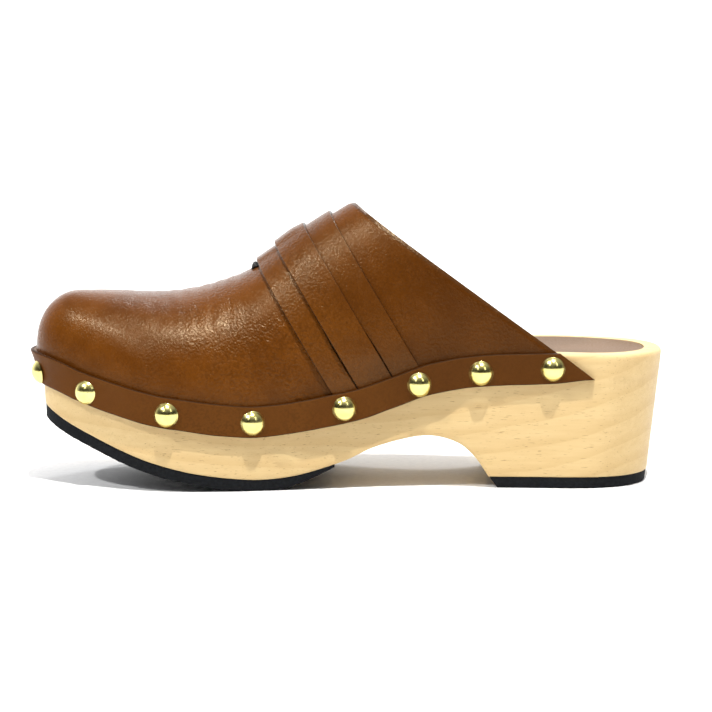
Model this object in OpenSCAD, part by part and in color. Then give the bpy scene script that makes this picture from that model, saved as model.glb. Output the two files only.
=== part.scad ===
// Wooden clog for the right foot: a carved wooden sole on two rubber soles, with a leather vamp
// that is held by a leather band and dome nails, and three straps over the instep.
// X runs from the toe (-) to the heel (+), Y from the inner side (-) to the outer side (+),
// and Z is up from the ground. Lengths are in millimetres.

/* [Shoe] */
// Length of the wooden sole at its top edge; the whole shape scales with it
sole_length = 249; // [220:1:300]
// How far the toe wall stands back below the footbed's edge
toe_setback = 3.6; // [2.5:0.1:4.5]
// Inward lean of the heel wall, per millimetre of height
heel_lean = 0.115; // [0.05:0.005:0.15]
// Inward lean of the side walls, per millimetre of height
side_lean = 0.05; // [0.02:0.01:0.08]

/* [Rubber] */
// Thickness of the forefoot rubber and of the heel lift
rubber_t = 4.4; // [3.5:0.1:5]
// Thickness of the forefoot rubber at its rear end, in the arch
rubber_end_t = 1.1; // [0.8:0.1:2]
// Distance that the rubber stays inside the edge of the wood
rubber_inset = 0.3; // [0:0.1:1]

/* [Upper] */
// Thickness of the vamp leather
vamp_t = 2.0; // [1.6:0.1:2.2]
// Depth of the vamp's edge below the footbed, behind the band
margin_h = 10; // [8:0.5:11]
// Depth of the rabbet that the vamp's edge lies in
rabbet_depth = 2.4; // [2.3:0.1:3]
// Thickness of the stiffener inside the toe
puff_t = 0.9; // [0.6:0.1:1.2]
// Drop of the vamp's opening on the outer side, against the inner side
opening_drop = 11; // [0:0.5:14]

/* [Straps] */
// Thickness of the strap leather
strap_t = 1.6; // [1.2:0.1:1.8]
// Thickness of a strap's thinned end, behind the band
skived_t = 1.15; // [0.8:0.05:1.2]
// Thickness of the tab that the straps cross at the instep
tab_t = 0.8; // [0.5:0.1:1]
// Width of that tab
tab_w = 10; // [8:1:12]

/* [Band and nails] */
// Height of the leather band
band_h = 12; // [11.5:0.1:13]
// Thickness of the leather band
band_t = 2.2; // [1.8:0.1:2.6]
// Diameter of a dome nail's head
dome_d = 9.6; // [8:0.1:10.5]
// Height of a dome nail's head
dome_h = 2.9; // [2:0.1:4]
// Diameter of a nail's shank
shank_d = 1.6; // [1.2:0.1:2]
// Length of a dome nail's shank
shank_l = 14; // [10:0.5:16]

/* [Insole] */
// Thickness of the pad in the footbed
pad_t = 1.5; // [1:0.1:2.5]
// Thickness of the leather sock on the pad
sock_t = 1.2; // [0.8:0.1:1.5]
// Width of the wooden rim around the sock
rim_w = 7; // [5:0.1:8]

/* [Hidden] */
inner = -1;
outer = 1;
gap = 0.1;

// The shape's curves are drawn at the reference length and scaled to the wanted one.
reference_length = 249;
k = sole_length / reference_length;
function scaled(points) = [for (p = points) p * k];

toe_x = -123.6 * k;
heel_x = 125.2 * k;
heel_z = 53 * k;
heel_front_x = 55.8 * k;

// Height of the footbed's edge along X, which is the top edge of the wood.
footbed_line = scaled([[-125, 52.4], [-115, 50], [-104, 45.8], [-90, 41.8], [-75, 38.2], [-60, 35.9],
    [-48, 34.3], [-36, 33.5], [-24, 34.4], [-11, 36.6], [4, 39.6], [18, 44.3], [32, 49.2], [46, 51.8],
    [60, 53], [80, 53.5], [104, 53], [128, 52.8]]);
// Height of the wood's underside: rocker, ball, arch and the front of the heel.
underside_line = scaled([[-122, 32.6], [-118, 29.6], [-110, 25], [-100, 20.4], [-90, 16.1], [-80, 12.4],
    [-70, 9.5], [-60, 7.2], [-48, 5.4], [-35, 4.4], [-22, 5.4], [-11, 8], [0, 11.6], [9, 15.8],
    [18, 18.6], [27, 20.5], [33, 20.8], [39, 19.7], [45, 17.1], [50.5, 12.1], [55.8, 4.4]]);
// Half widths of the footbed on the inner and the outer side.
inner_line = scaled([[-125, 38], [-100, 39.8], [-80, 43.6], [-64, 44.5], [-48, 43.2], [-25, 39.2],
    [0, 35.4], [25, 33.2], [45, 33], [70, 34.4], [90, 35.6], [127, 35.8]]);
outer_line = scaled([[-125, 44], [-100, 45], [-70, 44.6], [-45, 43.8], [-20, 41.4], [0, 39],
    [25, 35.8], [45, 34.2], [70, 33], [90, 32.4], [127, 31.8]]);
// Y of the shoe's middle, and height of the vamp's ridge along it.
centre_line = scaled([[-125, -8], [-60, -3], [0, -2], [127, -2]]);
ridge_line = scaled([[-125, 75.2], [-106, 75.6], [-92, 75.3], [-80, 74.7], [-70, 74.9], [-60, 76.4],
    [-50, 79.2], [-40, 83], [-28, 90.6], [-15, 99.9], [-5, 106.4], [6, 113], [20, 123], [40, 138],
    [70, 157], [100, 175]]);

// Lengths and powers of the rounded toe and heel, in plan and in side view.
inner_toe_reach = 60 * k;
outer_toe_reach = 84 * k;
heel_reach = 30 * k;
ridge_reach = 17 * k;
toe_power = 2.15;
heel_power = 2.3;

// The vamp's rear edge is a straight line in side view: its height at X = 0, and its fall.
opening_z = 112.7 * k;
opening_fall = 0.72;

function clamped(t) = min(max(t, 0), 1);
function eased(t) = let (c = clamped(t)) c * c * (3 - 2 * c);
function unit(v) = v / norm(v);

// Smooth curve through points [x, value], with the slopes of its neighbours' chords.
function span(p, x, i = 0) = i >= len(p) - 2 || x < p[i + 1][0] ? i : span(p, x, i + 1);
function slope(p, i) = let (a = p[max(i - 1, 0)], b = p[min(i + 1, len(p) - 1)]) (b[1] - a[1]) / (b[0] - a[0]);
function curve(p, x) =
    let (i = span(p, x), h = p[i + 1][0] - p[i][0], t = clamped((x - p[i][0]) / h))
    let (t2 = t * t, t3 = t2 * t)
    (2 * t3 - 3 * t2 + 1) * p[i][1] + (t3 - 2 * t2 + t) * h * slope(p, i)
    + (3 * t2 - 2 * t3) * p[i + 1][1] + (t3 - t2) * h * slope(p, i + 1);

// Quarter of a superellipse: 0 at the tip, 1 at the reach and beyond.
function rounded(d, reach, power) = pow(1 - pow(1 - clamped(d / reach), power), 1 / power);

function footbed(x) = curve(footbed_line, x);
function underside(x) = x < heel_front_x ? curve(underside_line, x) : rubber_t;

// Where the wall's toe and heel are at a height, moved outwards by out.
function toe_at(z, out) = toe_x - out + toe_setback * k * (1 - exp(-max(footbed(toe_x) - z, -3 * k) / (8 * k)));
function heel_at(z, out) = heel_x + out - heel_lean * (heel_z - z);

// Y of the shoe's wall at a place along it and a height.
function wall_y(x, z, side, out = 0) =
    let (half = curve(side == inner ? inner_line : outer_line, x) + out - side_lean * (footbed(x) - z))
    let (reach = side == inner ? inner_toe_reach : outer_toe_reach, middle = curve(centre_line, x))
    middle + (side * half - middle) * rounded(x - toe_at(z, out), reach, toe_power)
        * rounded(heel_at(z, out) - x, heel_reach, heel_power);

// Point on the wall, a drop below the footbed's edge, and the wall's outward direction there.
function wall_point(x, side, drop, out = 0) =
    let (z = footbed(x) - drop) [x, wall_y(x, z, side, out), z];
function wall_normal(x, side, drop) =
    let (along = wall_point(x + 1, side, drop) - wall_point(x - 1, side, drop))
    let (up = wall_point(x, side, drop - 3) - wall_point(x, side, drop + 3))
    unit(cross(along, up)) * -side;

// Foremost X of a line on the wall that stays a drop below the footbed's edge.
function tip_at(drop, out, x = toe_x, turns = 8) =
    turns == 0 ? x : tip_at(drop, out, toe_at(footbed(x) - drop, out), turns - 1);

// Point on the vamp: angle 0 is the inner edge, 90 the ridge and 180 the outer edge.
function vamp_power(x) = 2.35 - 0.25 * eased((x / k + 100) / 80);
function vamp_point(x, angle, out = 0) =
    let (base = footbed(x), middle = curve(centre_line, x), p = 2 / vamp_power(x))
    let (rise = (curve(ridge_line, x) + out - base) * rounded(x - tip_at(0, out), ridge_reach, heel_power))
    let (edge = wall_y(x, base, angle < 90 ? inner : outer, out))
    [x, middle + (edge - middle) * pow(abs(cos(angle)), p), base + rise * pow(sin(angle), p)];
function vamp_normal(x, angle) =
    let (along = vamp_point(x + 0.5, angle) - vamp_point(x - 0.5, angle))
    let (over = vamp_point(x, min(angle + 1.5, 180)) - vamp_point(x, max(angle - 1.5, 0)))
    unit(cross(along, over));

// Height of the vamp's opening above or below its line at X = 0, lower towards the outer side.
function opening_height(p) = p[2] + opening_fall * p[0]
    - opening_z + opening_drop * eased((p[1] / k + 8) / 44);
function opening_x(angle, out, low = -20 * k, high = 110 * k, turns = 14) =
    let (mid = (low + high) / 2)
    turns == 0 ? mid
    : opening_height(vamp_point(mid, angle, out)) < 0 ? opening_x(angle, out, mid, high, turns - 1)
    : opening_x(angle, out, low, mid, turns - 1);
function opening_x_at(z, side) = (opening_z - (side == outer ? opening_drop : 0) - z) / opening_fall;
function opening_ends(z, further) = [for (side = [inner, outer]) opening_x_at(z, side) + further * k];

// Fraction along the shoe that gathers the stations at the round toe.
function from_toe(u) = 1 - cos(90 * u);
function toe_to_heel(u) = (1 - cos(180 * u)) / 2;

// Sheet between two grids of points. Rows run from the inner side over the top to the outer side.
// toe_rows is -1 for a sheet with a free front edge, 0 where its first column closes to one point,
// and 1 where only its first and last row keep a point of their own there.
module sheet(top, bottom, toe_rows = -1) {
    n = len(top) - 1;
    m = len(top[0]) - 1;
    count = (n + 1) * (m + 1);
    function row(i, j) = i > 0 || toe_rows < 0 ? j : toe_rows == 0 || j == 0 || j == m ? 0 : 1;
    function at(layer, i, j) = layer * count + i * (m + 1) + row(i, j);
    quads = concat(
        [for (i = [0 : n - 1], j = [0 : m - 1]) [at(0, i, j), at(0, i, j + 1), at(0, i + 1, j + 1), at(0, i + 1, j)]],
        [for (i = [0 : n - 1], j = [0 : m - 1]) [at(1, i, j), at(1, i + 1, j), at(1, i + 1, j + 1), at(1, i, j + 1)]],
        [for (i = [0 : n - 1]) [at(0, i, 0), at(0, i + 1, 0), at(1, i + 1, 0), at(1, i, 0)]],
        [for (i = [0 : n - 1]) [at(0, i, m), at(1, i, m), at(1, i + 1, m), at(0, i + 1, m)]],
        [for (j = [0 : m - 1]) [at(0, n, j), at(0, n, j + 1), at(1, n, j + 1), at(1, n, j)]],
        toe_rows >= 0 ? [] : [for (j = [0 : m - 1]) [at(0, 0, j), at(1, 0, j), at(1, 0, j + 1), at(0, 0, j + 1)]]);
    triangles = [for (q = quads) each [[q[0], q[1], q[2]], [q[0], q[2], q[3]]]];
    polyhedron(points = concat([for (column = top) each column], [for (column = bottom) each column]),
        faces = [for (t = triangles) if (t[0] != t[1] && t[1] != t[2] && t[2] != t[0]) t]);
}

// Outline of the shoe in plan at heights given by a function of x, between two X values.
function outline_x(from, to, steps) = [for (i = [0 : steps]) from + (to - from) * toe_to_heel(i / steps)];
function outline(stations, heights, out) = concat(
    [for (i = [0 : len(stations) - 1]) [stations[i], wall_y(stations[i], heights[i], inner, out)]],
    [for (i = [len(stations) - 2 : -1 : 1]) [stations[i], wall_y(stations[i], heights[i], outer, out)]]);

// Solid above a lower line and below an upper line, both drawn in side view.
module side_slab(lower, upper) {
    rotate([90, 0, 0])
        linear_extrude(height = 140 * k, center = true)
            polygon(concat(lower, [for (i = [len(upper) - 1 : -1 : 0]) upper[i]]));
}

// Stations for the side view: even along the shoe, with the corner of the heel added.
side_stations = [for (i = [0 : 62]) (-127 + i * 258 / 62) * k];
arch_stations = concat([for (i = [0 : 52]) -127 * k + i * (heel_front_x + 127 * k) / 52], [131 * k]);

// The shoe's wall as one closed loft between level outlines.
module wall_loft() {
    levels = [-2, 16, 30, 38, 43, 47, 51, 62] * k;
    steps = 36;
    rings = [for (z = levels)
        [for (p = outline(outline_x(toe_at(z, 0), heel_at(z, 0), steps), [for (i = [0 : steps]) z], 0)) [p[0], p[1], z]]];
    n = 2 * steps;
    top = (len(levels) - 1) * n;
    quads = [for (r = [0 : len(levels) - 2], i = [0 : n - 1])
        [r * n + i, (r + 1) * n + i, (r + 1) * n + (i + 1) % n, r * n + (i + 1) % n]];
    polyhedron(points = [for (ring = rings) each ring],
        faces = concat([for (q = quads) each [[q[0], q[1], q[2]], [q[0], q[2], q[3]]]],
            [[for (i = [0 : n - 1]) i], [for (i = [n - 1 : -1 : 0]) top + i]]));
}

// Strip that runs round the toe on the wall, from the outer side's rear to the inner side's rear.
// Its ends slope: the lower edge reaches further back than the upper edge, and rises there by taper.
module wall_strip(low_drop, high_drop, inside, outside, low_ends, high_ends, steps, taper = 0) {
    columns = [for (i = [-steps : steps]) i / steps];
    function end_of(ends, s) = s < 0 ? ends[1] : ends[0];
    function taper_at(x, end) = eased((x - end + 20 * k) / (20 * k));
    function strip_point(s, drop, ends, out) =
        let (tip = tip_at(drop, out), end = end_of(ends, s), x = tip + (end - tip) * from_toe(abs(s)))
        let (raised = drop - (drop == low_drop ? taper * taper_at(x, end) : 0))
        s == 0 ? [tip, curve(centre_line, tip), footbed(tip) - drop]
        : wall_point(x, s < 0 ? outer : inner, raised, out + (out > 0 ? strap_bulge(x) : 0));
    function face(out) = [for (s = columns)
        [strip_point(s, low_drop, low_ends, out), strip_point(s, high_drop, high_ends, out)]];
    sheet(face(outside), face(inside));
}

// The band stands further out where the straps' ends lie behind it.
function strap_bulge(x) = skived_t * eased((x / k + 26) / 12) * eased((46 - x / k) / 12);

// Children are moved onto the wall, with their +X pointing outwards.
module on_wall(x, side, drop, out) {
    normal = wall_normal(x, side, drop);
    translate(wall_point(x, side, drop, 0) + normal * out)
        rotate([0, asin(-normal[2]), atan2(normal[1], normal[0])])
            children();
}

// Dome nails, from the toe back: their places along X and their drops below the footbed's edge.
inner_nails = [[-120, 7], [-101.5, 6.7], [-70, 6.4], [-37, 6.1], [-1.5, 5.8], [28, 6.3], [52.3, 6.5], [80.3, 5.7]] * k;
outer_nails = [[-120, 7], [-101.5, 6.7], [-70, 6.4], [-37, 6.2], [-4, 6.2], [22, 6.3], [44, 6.3], [66, 6]] * k;
function band_out(x) = gap + strap_bulge(x) + band_t;

// One nail along +X, turned from its half section: a pointed shank under a spherical cap.
module dome_nail() {
    cap_r = (dome_d * dome_d / 4 + dome_h * dome_h) / (2 * dome_h);
    cap_angle = asin(dome_d / 2 / cap_r);
    cap = [for (i = [0 : 10]) let (a = cap_angle * (1 - i / 10)) [cap_r * sin(a), dome_h - cap_r + cap_r * cos(a)]];
    shank = [[0, -shank_l - 2], [shank_d / 2, -shank_l], [shank_d / 2, 0]];
    rotate([0, 90, 0]) rotate_extrude($fn = 48) polygon(concat(shank, cap));
}

module dome_nails(side) {
    color([0.86, 0.74, 0.38])
        for (p = side == inner ? inner_nails : outer_nails)
            on_wall(p[0], side, p[1], band_out(p[0])) dome_nail();
}

// Holes for the dome nails, from outside the band to the end of the shank.
module nail_holes() {
    for (side = [inner, outer])
        for (p = side == inner ? inner_nails : outer_nails)
            on_wall(p[0], side, p[1], band_out(p[0]))
                translate([-shank_l - 2.2, 0, 0])
                    rotate([0, 90, 0])
                        cylinder(d = shank_d + 0.04, h = shank_l + 4, $fn = 32);
}

// Staples that hold the vamp's edge to the wood between the dome nails, under the band.
staple_w = 9;
staple_leg = 7;
wire = 0.7;
staple_drop = 7.4 * k;
staple_places = [-88, -52, -16, 15, 41, 64] * k;

module staple() {
    translate([-wire, -staple_w / 2, -wire / 2]) cube([wire, staple_w, wire]);
    for (y = [-staple_w / 2, staple_w / 2 - wire])
        translate([-staple_leg, y, -wire / 2]) cube([staple_leg, wire, wire]);
}

module staples() {
    for (side = [inner, outer], x = staple_places)
        on_wall(x, side, staple_drop, -gap) staple();
}

// Nails through the rubber: [x, offset from the middle], heads sunk in the rubber.
sole_nail_head_d = 5;
sole_nail_l = 15;
sole_nail_sink = 0.8;
sole_nail_places = concat([[-106, 0]], [for (x = [-88, -68, -48, -28], s = [inner, outer]) [x, s * 25]],
    [[112, 0]], [for (x = [74, 98], s = [inner, outer]) [x, s * 20]]) * k;

// The forefoot rubber is thinned over its last stretch, and ends in the arch.
rubber_rear = -5 * k;
rubber_taper = 19 * k;
function rubber_at(x) = rubber_t - (rubber_t - rubber_end_t) * clamped((x - rubber_rear + rubber_taper) / rubber_taper);
function rubber_low(x) = x > heel_front_x ? 0
    : let (rise = (underside(x + 1) - underside(x - 1)) / 2) underside(x) - rubber_at(x) * sqrt(1 + rise * rise);

module sole_nail() {
    cylinder(d = sole_nail_head_d, h = 0.8, $fn = 32);
    translate([0, 0, 0.8]) cylinder(d1 = sole_nail_head_d, d2 = shank_d, h = 1.4, $fn = 32);
    cylinder(d = shank_d, h = sole_nail_l, $fn = 32);
}

module at_sole_nails() {
    for (p = sole_nail_places)
        translate([p[0], p[1] + curve(centre_line, p[0]), rubber_low(p[0]) + sole_nail_sink])
            children();
}

// Each nail's hole in the rubber and the wood, open at the rubber's lower face.
module sole_nail_holes() {
    at_sole_nails() {
        sole_nail();
        translate([0, 0, -6]) cylinder(d = sole_nail_head_d, h = 6.1, $fn = 32);
    }
}

// Sock and pad share one outline, inside the wooden rim and the vamp.
insole_stations = outline_x(tip_at(0, -rim_w), heel_at(heel_z, -rim_w), 40);
module footbed_layer(low, high, spare = 0) {
    intersection() {
        translate([0, 0, 20 * k])
            linear_extrude(height = 50 * k)
                polygon(outline(insole_stations, [for (x = insole_stations) footbed(x)], spare - rim_w));
        side_slab([for (x = side_stations) [x, footbed(x) + low]], [for (x = side_stations) [x, footbed(x) + high]]);
    }
}

module wooden_sole() {
    color([0.87, 0.72, 0.49])
        difference() {
            intersection() {
                side_slab([for (x = arch_stations) [x, underside(x)]], [for (x = side_stations) [x, footbed(x)]]);
                wall_loft();
            }
            wall_strip(margin_h + 0.3, -6, -rabbet_depth, 4, opening_ends(heel_z, 4.5), opening_ends(heel_z, -2.1), 40);
            footbed_layer(-pad_t - sock_t, 4, 0.1);
            nail_holes();
            sole_nail_holes();
        }
}

module forefoot_outsole() {
    front = toe_at(underside(toe_x + 7 * k), -rubber_inset);
    stations = [for (i = [36 : -1 : 0]) front + (rubber_rear - front) * from_toe(i / 36)];
    heights = [for (x = stations) underside(x)];
    color([0.06, 0.06, 0.06])
        difference() {
            intersection() {
                translate([0, 0, -1])
                    linear_extrude(height = 60 * k)
                        polygon(concat(outline(stations, heights, -rubber_inset),
                            [[rubber_rear, wall_y(rubber_rear, underside(rubber_rear), outer, -rubber_inset)]]));
                side_slab([for (x = arch_stations) if (x < 10) [x, rubber_low(x)]],
                    [for (x = arch_stations) if (x < 10) [x, underside(x)]]);
            }
            sole_nail_holes();
        }
}

module heel_top_lift() {
    rear = heel_at(0, -rubber_inset);
    stations = [for (i = [0 : 20]) heel_front_x + (rear - heel_front_x) * sin(90 * i / 20)];
    color([0.06, 0.06, 0.06])
        difference() {
            intersection() {
                linear_extrude(height = rubber_t)
                    polygon(concat(outline(stations, [for (x = stations) 0], -rubber_inset),
                        [[heel_front_x, wall_y(heel_front_x, 0, outer, -rubber_inset)]]));
                side_slab([[heel_front_x + 3.2, 0], [heel_x + 9, 0]], [[heel_front_x, rubber_t], [heel_x + 9, rubber_t]]);
            }
            sole_nail_holes();
        }
}

module sole_nails() {
    color([0.6, 0.6, 0.58]) at_sole_nails() sole_nail();
}

module insole_pad() {
    color([0.75, 0.68, 0.55]) footbed_layer(-pad_t - sock_t, -sock_t - gap / 2);
}

module insole_sock() {
    color([0.47, 0.34, 0.30]) footbed_layer(-sock_t, 0);
}

// Grid of the vamp: the lasted edge, then the dome from the inner to the outer side.
vamp_columns = 26;
vamp_rows = 30;
function vamp_angle(j) = 180 * (j - 1) / (vamp_rows - 2);
function margin_point(u, side, out) =
    let (tip = tip_at(margin_h, out), rear = opening_x_at(heel_z, side) + 3 * k, x = tip + (rear - tip) * from_toe(u))
    u == 0 ? [tip, curve(centre_line, tip), footbed(tip) - margin_h] : wall_point(x, side, margin_h, out);
function vamp_grid(out) =
    let (tip = tip_at(0, out), rears = [for (j = [0 : vamp_rows]) opening_x(vamp_angle(j), out)])
    [for (i = [0 : vamp_columns]) let (u = i / vamp_columns)
        [for (j = [0 : vamp_rows])
            j == 0 ? margin_point(u, inner, out)
            : j == vamp_rows ? margin_point(u, outer, out)
            : i == 0 ? [tip, curve(centre_line, tip), footbed(tip)]
            : vamp_point(tip + (rears[j] - tip) * from_toe(u), vamp_angle(j), out)]];

module vamp() {
    color([0.50, 0.28, 0.12])
        difference() {
            sheet(vamp_grid(-gap), vamp_grid(-gap - vamp_t), 1);
            nail_holes();
            staples();
        }
}

module toe_puff() {
    columns = 14;
    rows = 18;
    function grid(out) = let (tip = tip_at(0, out))
        [for (i = [0 : columns])
            [for (j = [0 : rows]) let (angle = 4 + 172 * j / rows, rear = (-92 + 10 * sin(angle)) * k)
                vamp_point(tip + (rear - tip) * from_toe(i / columns), i == 0 ? 0 : angle, out)]];
    start = -gap - vamp_t - gap;
    color([0.85, 0.82, 0.75]) sheet(grid(start), grid(start - puff_t), 0);
}

// Straps cross the instep on lines that are straight in side view: X at the strap line's height,
// and how far X moves back for each millimetre down.
strap_line_z = 65 * k;
strap_rake = 0.6;
strap_edges = [-22.4, -11, 5, 18.1] * k;
strap_tuck = 3.2 * k;

// Overlap under the middle strap: none near the band, full over the instep.
function tuck(z) = strap_tuck * eased((z / k - 54) / 34) - 0.3;
// Edges of a strap in side view; which is 0 for the front, 1 for the middle and 2 for the rear one.
function edge_x(which, z) =
    let (front = strap_edges[which] - (which == 2 ? tuck(z) : 0))
    let (rear = strap_edges[which + 1] + (which == 0 ? tuck(z) : 0), back = (strap_line_z - z) * strap_rake)
    [front + back, rear + back];
function strap_x_at(which, t, z) = let (e = edge_x(which, z)) e[0] + (e[1] - e[0]) * t;
function strap_x(which, t, angle, low = -60 * k, high = 50 * k, turns = 14) =
    let (mid = (low + high) / 2, p = vamp_point(mid, angle))
    turns == 0 ? mid
    : mid < strap_x_at(which, t, p[2]) ? strap_x(which, t, angle, mid, high, turns - 1)
    : strap_x(which, t, angle, low, mid, turns - 1);

// How far a strap's lower face lies off the vamp, and how thick the strap is there.
function over_tab(p) = tab_t * eased((tab_w / 2 + 5 - abs(p[1] - curve(centre_line, p[0]))) / 5)
    * eased((tab_rear + 8 * k - p[0]) / (7 * k));
function strap_lift(which, p, height) =
    gap / 2 + over_tab(p) + (which == 1 ? (strap_t + gap / 2) * eased(height / 14) : 0);
function strap_thickness(height) = skived_t + (strap_t - skived_t) * eased(height / 8);
strap_end_drop = 8 * k;
function strap_end(which, t, side, out, x = 10 * k, turns = 8) =
    turns == 0 ? wall_point(x, side, strap_end_drop, out)
    : strap_end(which, t, side, out, strap_x_at(which, t, footbed(x) - strap_end_drop), turns - 1);
function strap_point(which, t, angle, top) =
    let (x = strap_x(which, t, angle), p = vamp_point(x, angle), height = p[2] - footbed(x))
    p + vamp_normal(x, angle) * (strap_lift(which, p, height) + top * strap_thickness(height));
function strap_grid(which, top) = [for (t = [0, 0.5, 1])
    concat([strap_end(which, t, inner, gap / 2 + top * skived_t)],
        [for (angle = [0 : 6 : 180]) strap_point(which, t, angle, top)],
        [strap_end(which, t, outer, gap / 2 + top * skived_t)])];

module strap(which) {
    color([0.47, 0.26, 0.11]) sheet(strap_grid(which, 1), strap_grid(which, 0));
}

// Tab under the straps along the ridge, with a thicker rounded nose in front of them.
tab_front = -38 * k;
tab_rear = -22 * k;
module instep_tab() {
    nose = 2.4 * k;
    stations = concat([0, 0.4, 1.2, 2, 2.6, 5, 8, 12] * k, [tab_rear - tab_front]);
    function thickness(d) = d < nose ? tab_t * (0.35 + 1.6 * sin(180 * clamped(d / nose * 0.8))) : tab_t;
    function angle_at(x, y) = 90 + asin(clamped(abs(y) / 34) * sign(y));
    function grid(top) = [for (d = stations)
        [for (y = [-1, -0.6, -0.2, 0.2, 0.6, 1] * tab_w / 2)
            let (x = tab_front + d, angle = angle_at(x, y * (0.8 + 0.2 * clamped(d / nose))))
            vamp_point(x, angle) + vamp_normal(x, angle) * (gap / 4 + top * thickness(d))]];
    color([0.05, 0.05, 0.05]) sheet(grid(1), grid(0));
}

module welt_band() {
    taper = 2.2 * k;
    tip_z = heel_z - band_h * k + taper;
    color([0.38, 0.21, 0.10])
        difference() {
            wall_strip(band_h * k, -0.3, gap, gap + band_t, opening_ends(tip_z, 0), opening_ends(heel_z, 0), 44, taper);
            nail_holes();
        }
}

module vamp_staples() {
    color([0.7, 0.7, 0.72]) staples();
}

wooden_sole();
forefoot_outsole();
heel_top_lift();
sole_nails();
insole_pad();
insole_sock();
vamp();
toe_puff();
instep_tab();
strap(0);  // strap_front
strap(1);  // strap_middle
strap(2);  // strap_rear
welt_band();
dome_nails(inner);  // dome_nails_inner
dome_nails(outer);  // dome_nails_outer
vamp_staples();
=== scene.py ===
"""A wooden clog for the right foot: the looks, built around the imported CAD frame.

Shape functions work in millimetres, on the same curves as the CAD: X runs from the toe (-) to the
heel (+), Y from the inner side (-) to the outer side (+), Z up from the ground. Meshes are in metres.
"""
import math

import bmesh
import bpy
import numpy as np
from mathutils import Euler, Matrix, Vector, noise


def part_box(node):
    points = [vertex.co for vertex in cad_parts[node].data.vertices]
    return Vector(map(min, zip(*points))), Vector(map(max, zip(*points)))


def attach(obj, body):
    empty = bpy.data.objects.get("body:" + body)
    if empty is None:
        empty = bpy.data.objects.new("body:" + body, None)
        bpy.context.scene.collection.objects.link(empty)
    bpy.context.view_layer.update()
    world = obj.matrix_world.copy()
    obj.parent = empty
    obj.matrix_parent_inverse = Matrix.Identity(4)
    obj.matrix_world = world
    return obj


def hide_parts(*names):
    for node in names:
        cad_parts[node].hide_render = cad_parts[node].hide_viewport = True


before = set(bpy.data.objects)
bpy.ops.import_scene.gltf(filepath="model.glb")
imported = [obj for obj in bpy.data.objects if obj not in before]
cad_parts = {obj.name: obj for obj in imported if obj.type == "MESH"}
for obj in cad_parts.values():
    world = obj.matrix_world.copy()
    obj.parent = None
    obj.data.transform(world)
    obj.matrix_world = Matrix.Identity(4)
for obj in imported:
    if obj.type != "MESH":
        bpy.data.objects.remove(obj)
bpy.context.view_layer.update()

INNER = -1
OUTER = 1

# ---------------------------------------- shape of the shoe, in millimetres
TOE_X = -123.6
HEEL_X = 125.2
HEEL_Z = 53.0
HEEL_FRONT_X = 55.8
TOE_SETBACK = 3.6
TOE_TURN = 8
TOE_TURN_TOP = 3
HEEL_LEAN = 0.115
SIDE_LEAN = 0.05
RUBBER_T = 4.4
RUBBER_INSET = 0.3

FOOTBED = [(-125, 52.4), (-115, 50), (-104, 45.8), (-90, 41.8), (-75, 38.2), (-60, 35.9), (-48, 34.3),
           (-36, 33.5), (-24, 34.4), (-11, 36.6), (4, 39.6), (18, 44.3), (32, 49.2), (46, 51.8),
           (60, 53), (80, 53.5), (104, 53), (128, 52.8)]
UNDERSIDE = [(-122, 32.6), (-118, 29.6), (-110, 25), (-100, 20.4), (-90, 16.1), (-80, 12.4), (-70, 9.5),
             (-60, 7.2), (-48, 5.4), (-35, 4.4), (-22, 5.4), (-11, 8), (0, 11.6), (9, 15.8), (18, 18.6),
             (27, 20.5), (33, 20.8), (39, 19.7), (45, 17.1), (50.5, 12.1), (55.8, 4.4)]
INNER_LINE = [(-125, 38), (-100, 39.8), (-80, 43.6), (-64, 44.5), (-48, 43.2), (-25, 39.2), (0, 35.4),
              (25, 33.2), (45, 33), (70, 34.4), (90, 35.6), (127, 35.8)]
OUTER_LINE = [(-125, 44), (-100, 45), (-70, 44.6), (-45, 43.8), (-20, 41.4), (0, 39), (25, 35.8),
              (45, 34.2), (70, 33), (90, 32.4), (127, 31.8)]
CENTRE = [(-125, -8), (-60, -3), (0, -2), (127, -2)]
RIDGE = [(-125, 75.2), (-106, 75.6), (-92, 75.3), (-80, 74.7), (-70, 74.9), (-60, 76.4), (-50, 79.2),
         (-40, 83), (-28, 90.6), (-15, 99.9), (-5, 106.4), (6, 113), (20, 123), (40, 138), (70, 157),
         (100, 175)]
TOE_REACH = {INNER: 60, OUTER: 84}
HEEL_REACH = 30
RIDGE_REACH = 17
TOE_POWER = 2.15
HEEL_POWER = 2.3

# Across the vamp: a superellipse, squarer over the toe than behind it.
SECTION_POWER = 2.35
SECTION_POWER_LOSS = 0.25
SECTION_TURN_X = -100
SECTION_TURN_L = 80

# The opening is a sloping cut, which lies lower on the outer side.
OPENING_Z = 112.7
OPENING_FALL = 0.72
OPENING_DROP = 11
OPENING_DROP_Y = -8
OPENING_DROP_W = 44

# Metres in one millimetre of these curves, from where the frame has the back of the heel.
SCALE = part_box("wooden_sole")[1].x / HEEL_X


def curve(points, x):
    """Smooth curve through points (x, value), with the slopes of its neighbours' chords."""
    p = np.array(points, float)
    i = np.clip(np.searchsorted(p[:, 0], x, side="right") - 1, 0, len(p) - 2)
    before = np.maximum(np.arange(len(p)) - 1, 0)
    after = np.minimum(np.arange(len(p)) + 1, len(p) - 1)
    slopes = (p[after, 1] - p[before, 1]) / (p[after, 0] - p[before, 0])
    h = p[i + 1, 0] - p[i, 0]
    t = np.clip((x - p[i, 0]) / h, 0, 1)
    t2 = t * t
    t3 = t2 * t
    return ((2 * t3 - 3 * t2 + 1) * p[i, 1] + (t3 - 2 * t2 + t) * h * slopes[i]
            + (3 * t2 - 2 * t3) * p[i + 1, 1] + (t3 - t2) * h * slopes[i + 1])


def eased(t):
    t = np.clip(t, 0, 1)
    return t * t * (3 - 2 * t)


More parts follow.
